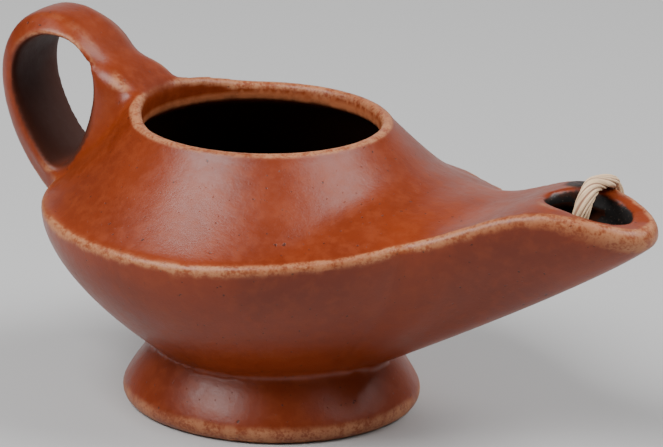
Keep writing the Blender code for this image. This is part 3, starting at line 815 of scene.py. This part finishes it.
def make_wick():
    line, length = smooth_route(np.array(WICK_ROUTE) * MM, WICK_RINGS)
    run = np.linspace(0, length, WICK_RINGS)
    tangent = unit(np.gradient(line, axis=0))
    side = np.array([0.0, 1.0, 0.0]) - tangent * tangent[:, 1:2]
    across = np.array([1.0, 0.0, 0.0]) - tangent * tangent[:, :1]
    steep = smoothstep((line[:, 0:1] - WICK_STEEP_X) / (8 * MM))
    wide = side * (1 - steep) + across * steep
    wide = unit(wide - tangent * (wide * tangent).sum(1)[:, None])
    thin = np.cross(tangent, wide)
    outside = smoothstep((run - (length - WICK_SEEN_LENGTH)) / (10 * MM))
    hanging = smoothstep((line[:, 1] - 9.5 * MM) / (3 * MM))
    over = smoothstep((line[:, 1] + 3 * MM) / (9 * MM)) * steep[:, 0]
    end = smoothstep((length - run) / WICK_END_TAPER) * 0.35 + 0.65
    half_wide = WICK_DIAMETER / 2 * (1 + WICK_SEEN_WIDENING * outside * (1 - hanging)) * end
    half_thin = WICK_DIAMETER / 2 * (1 - WICK_SEEN_THINNING * outside) * end
    centre_line = line - np.outer(over, WICK_OVER_SHIFT) - np.outer(hanging, WICK_HANGING_SHIFT)
    angle = 2 * math.pi * np.arange(WICK_SIDES) / WICK_SIDES
    points, groove, turned = [], [], []
    for i in range(WICK_RINGS):
        own = angle - 2 * math.pi * run[i] / WICK_TWIST_LENGTH
        own = own + 0.22 * np.sin(2 * own + run[i] / (7 * MM)) + 0.10 * np.sin(3 * own - run[i] / (4 * MM))
        reach, in_groove = strand_reach(own, run[i])
        u = reach * np.cos(angle) * half_wide[i]
        v = reach * np.sin(angle) * half_thin[i]
        points.append(centre_line[i] + u[:, None] * wide[i] + v[:, None] * thin[i])
        groove.append(in_groove)
        turned.append(own)
    wick = loft('wick_cotton', points)
    data = wick.data
    add_attribute(data, 'along', np.repeat(run / MM, WICK_SIDES))
    add_attribute(data, 'groove', np.concatenate(groove))
    add_attribute(data, 'turn_cos', np.cos(np.concatenate(turned)))
    add_attribute(data, 'turn_sin', np.sin(np.concatenate(turned)))
    data.polygons.foreach_set('use_smooth', [True] * len(data.polygons))
    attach(wick, 'root')
    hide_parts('wick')
    return wick


def math_node(tree, operation, first, second):
    made = tree.nodes.new('ShaderNodeMath')
    made.operation = operation
    for socket, value in zip(made.inputs, (first, second)):
        if isinstance(value, float):
            socket.default_value = value
        else:
            tree.links.new(value, socket)
    return made.outputs[0]


def product(tree, first, second):
    return math_node(tree, 'MULTIPLY', first, second)


def total(tree, first, second):
    return math_node(tree, 'ADD', first, second)


def noise(tree, scale, detail, roughness, vector):
    made = tree.nodes.new('ShaderNodeTexNoise')
    made.inputs['Scale'].default_value = scale
    made.inputs['Detail'].default_value = detail
    made.inputs['Roughness'].default_value = roughness
    tree.links.new(vector, made.inputs['Vector'])
    return made.outputs['Fac']


def ramp(tree, value, low, high, start=0.0, end=1.0):
    """A smooth step from start to end as the value goes from low to high."""
    made = tree.nodes.new('ShaderNodeMapRange')
    made.interpolation_type = 'SMOOTHSTEP'
    tree.links.new(value, made.inputs['Value'])
    for name, number in zip(('From Min', 'From Max', 'To Min', 'To Max'), (low, high, start, end)):
        made.inputs[name].default_value = number
    return made.outputs['Result']


def mix(tree, share, first, second):
    made = tree.nodes.new('ShaderNodeMix')
    made.data_type = 'RGBA'
    tree.links.new(share, made.inputs[0])
    for socket, colour in zip((made.inputs[6], made.inputs[7]), (first, second)):
        if isinstance(colour, tuple):
            socket.default_value = (*colour, 1.0)
        else:
            tree.links.new(colour, socket)
    return made.outputs[2]


def attribute(tree, name):
    made = tree.nodes.new('ShaderNodeAttribute')
    made.attribute_name = name
    return made.outputs['Fac']


def new_material(name):
    material = bpy.data.materials.new(name)
    material.use_nodes = True
    return material, material.node_tree, material.node_tree.nodes['Principled BSDF']


def add_bump(tree, shader, height, strength, distance):
    bump = tree.nodes.new('ShaderNodeBump')
    bump.inputs['Strength'].default_value = strength
    bump.inputs['Distance'].default_value = distance
    tree.links.new(height, bump.inputs['Height'])
    tree.links.new(bump.outputs['Normal'], shader.inputs['Normal'])


def clay_material():
    material, tree, shader = new_material('clay')
    place = tree.nodes.new('ShaderNodeTexCoord').outputs['Object']
    broad = noise(tree, 45.0, 4.0, 0.55, place)
    fine = noise(tree, 420.0, 4.0, 0.6, place)
    grain = noise(tree, 1900.0, 3.0, 0.6, place)
    speck = noise(tree, 1150.0, 1.0, 0.5, place)
    loop_shade_mark = attribute(tree, 'loop_shade_mark')
    colour = mix(tree, ramp(tree, broad, 0.35, 0.65), GLAZE_DARK, GLAZE_LIGHT)
    colour = mix(tree, ramp(tree, fine, 0.42, 0.70, 0.0, 0.40), colour, GLAZE_CLOUD)
    colour = mix(tree, ramp(tree, grain, 0.60, 0.74, 0.0, 0.40), colour, GLAZE_GRAIN)
    colour = mix(tree, ramp(tree, speck, 0.735, 0.765, 0.0, 0.8), colour, GLAZE_SPECK)
    speckle = total(tree, product(tree, fine, 0.5), product(tree, grain, 0.5))
    edge = product(tree, ramp(tree, attribute(tree, 'bulge'), 0.035, 0.12),
                   ramp(tree, broad, 0.30, 0.60, 0.55, 1.0))
    edge = product(tree, edge, ramp(tree, speckle, 0.38, 0.58, 0.20, 0.95))
    band = product(tree, attribute(tree, 'ridge'), ramp(tree, speckle, 0.38, 0.58, 0.15, 0.70))
    worn = math_node(tree, 'MAXIMUM', band, edge)
    colour = mix(tree, band, colour, WORN_BAND)
    colour = mix(tree, edge, colour, WORN_EDGE)
    # Painted light on the collar, in place of its missing light and highlights.
    collar = product(tree, attribute(tree, 'collar'), ramp(tree, fine, 0.3, 0.6, 0.5, 0.9))
    colour = mix(tree, collar, colour, COLLAR_PAINTED_LIGHT)
    # Painted shade on the inner face of the handle's opening.
    colour = mix(tree, loop_shade_mark, colour, LOOP_PAINTED_SHADE)
    # Painted shade on the walls of the reservoir and the channel.
    colour = mix(tree, attribute(tree, 'deep'), colour, INSIDE_PAINTED_SHADE)
    notch = product(tree, attribute(tree, 'notch'), ramp(tree, fine, 0.30, 0.50, 0.7, 1.0))
    ragged = total(tree, attribute(tree, 'hole'), ramp(tree, fine, 0.3, 0.7, -0.03, 0.03))
    soot = product(tree, ramp(tree, ragged, 1.00, 1.07, 1.0, 0.0),
                   ramp(tree, attribute(tree, 'depth'), 0.10, 0.55))
    dark = math_node(tree, 'MAXIMUM', soot, notch)
    colour = mix(tree, dark, colour, mix(tree, ramp(tree, grain, 0.60, 0.72), SOOT, ASH))
    tree.links.new(colour, shader.inputs['Base Color'])
    rough = ramp(tree, fine, 0.3, 0.7, 0.31, 0.39)
    for mark, rougher in ((worn, 0.16), (dark, 0.20), (loop_shade_mark, 0.25)):
        rough = total(tree, rough, product(tree, mark, rougher))
    tree.links.new(rough, shader.inputs['Roughness'])
    shader.inputs['Specular IOR Level'].default_value = 0.36
    height = total(tree, product(tree, fine, 0.8), product(tree, grain, 0.25))
    height = math_node(tree, 'SUBTRACT', height, ramp(tree, speck, 0.72, 0.77, 0.0, 0.8))
    add_bump(tree, shader, height, 0.35, 0.22 * MM)
    return material


def cotton_material():
    material, tree, shader = new_material('cotton')
    place = tree.nodes.new('ShaderNodeTexCoord').outputs['Object']
    lay = tree.nodes.new('ShaderNodeCombineXYZ')
    for axis, (name, stretch) in enumerate((('turn_cos', 5.0), ('turn_sin', 5.0), ('along', 0.10))):
        tree.links.new(product(tree, attribute(tree, name), stretch), lay.inputs[axis])
    fibre = noise(tree, 3.0, 3.0, 0.6, lay.outputs[0])
    patch = noise(tree, 260.0, 2.0, 0.5, place)
    fluff = noise(tree, 1800.0, 3.0, 0.6, place)
    groove = attribute(tree, 'groove')
    colour = mix(tree, ramp(tree, patch, 0.35, 0.65), COTTON_DULL, COTTON_BRIGHT)
    colour = mix(tree, ramp(tree, fibre, 0.38, 0.62, 0.55, 0.0), colour, COTTON_STREAK)
    # Painted shade: the grooves between the strands are darkened.
    colour = mix(tree, ramp(tree, groove, 0.50, 0.95, 0.0, 0.9), colour, COTTON_GROOVE_SHADE)
    tree.links.new(colour, shader.inputs['Base Color'])
    shader.inputs['Roughness'].default_value = 0.9
    shader.inputs['Sheen Weight'].default_value = 0.15
    add_bump(tree, shader, total(tree, fibre, product(tree, fluff, 0.3)), 0.6, 0.25 * MM)
    return material


def area_light(name, place, target, width, height, power):
    data = bpy.data.lights.new(name, 'AREA')
    data.shape = 'RECTANGLE'
    data.size = width
    data.size_y = height
    data.energy = power
    light = bpy.data.objects.new(name, data)
    light.location = place
    light.rotation_euler = (Vector(target) - Vector(place)).to_track_quat('-Z', 'Y').to_euler()
    bpy.context.scene.collection.objects.link(light)


def make_studio():
    floor = bpy.data.meshes.new('floor')
    corners = [(x * FLOOR_REACH, y * FLOOR_REACH, 0) for x, y in ((-1, -1), (1, -1), (1, 1), (-1, 1))]
    floor.from_pydata(corners, [], [(0, 1, 2, 3)])
    floor_object = bpy.data.objects.new('floor', floor)
    bpy.context.scene.collection.objects.link(floor_object)
    material, tree, shader = new_material('floor')
    shader.inputs['Base Color'].default_value = (FLOOR_GREY, FLOOR_GREY, FLOOR_GREY, 1)
    shader.inputs['Roughness'].default_value = 0.9
    floor.materials.append(material)
    world = bpy.data.worlds.new('studio')
    world.use_nodes = True
    world.node_tree.nodes['Background'].inputs['Color'].default_value = (1, 1, 1, 1)
    world.node_tree.nodes['Background'].inputs['Strength'].default_value = WORLD_STRENGTH
    bpy.context.scene.world = world
    lit = Vector(LIT_PLACE)
    for name, toward, distance, width, height, power in SOFT_BOXES:
        place = lit + Vector(toward).normalized() * distance
        area_light(name, place, lit, width, height, power)


make_camera()
wick_piece = make_wick()
wick_piece.data.materials.append(cotton_material())
clay = make_clay()
clay.name = 'lamp_clay'
clay.data.materials.clear()
clay.data.materials.append(clay_material())
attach(clay, 'root')
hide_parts('lamp_body')
make_studio()
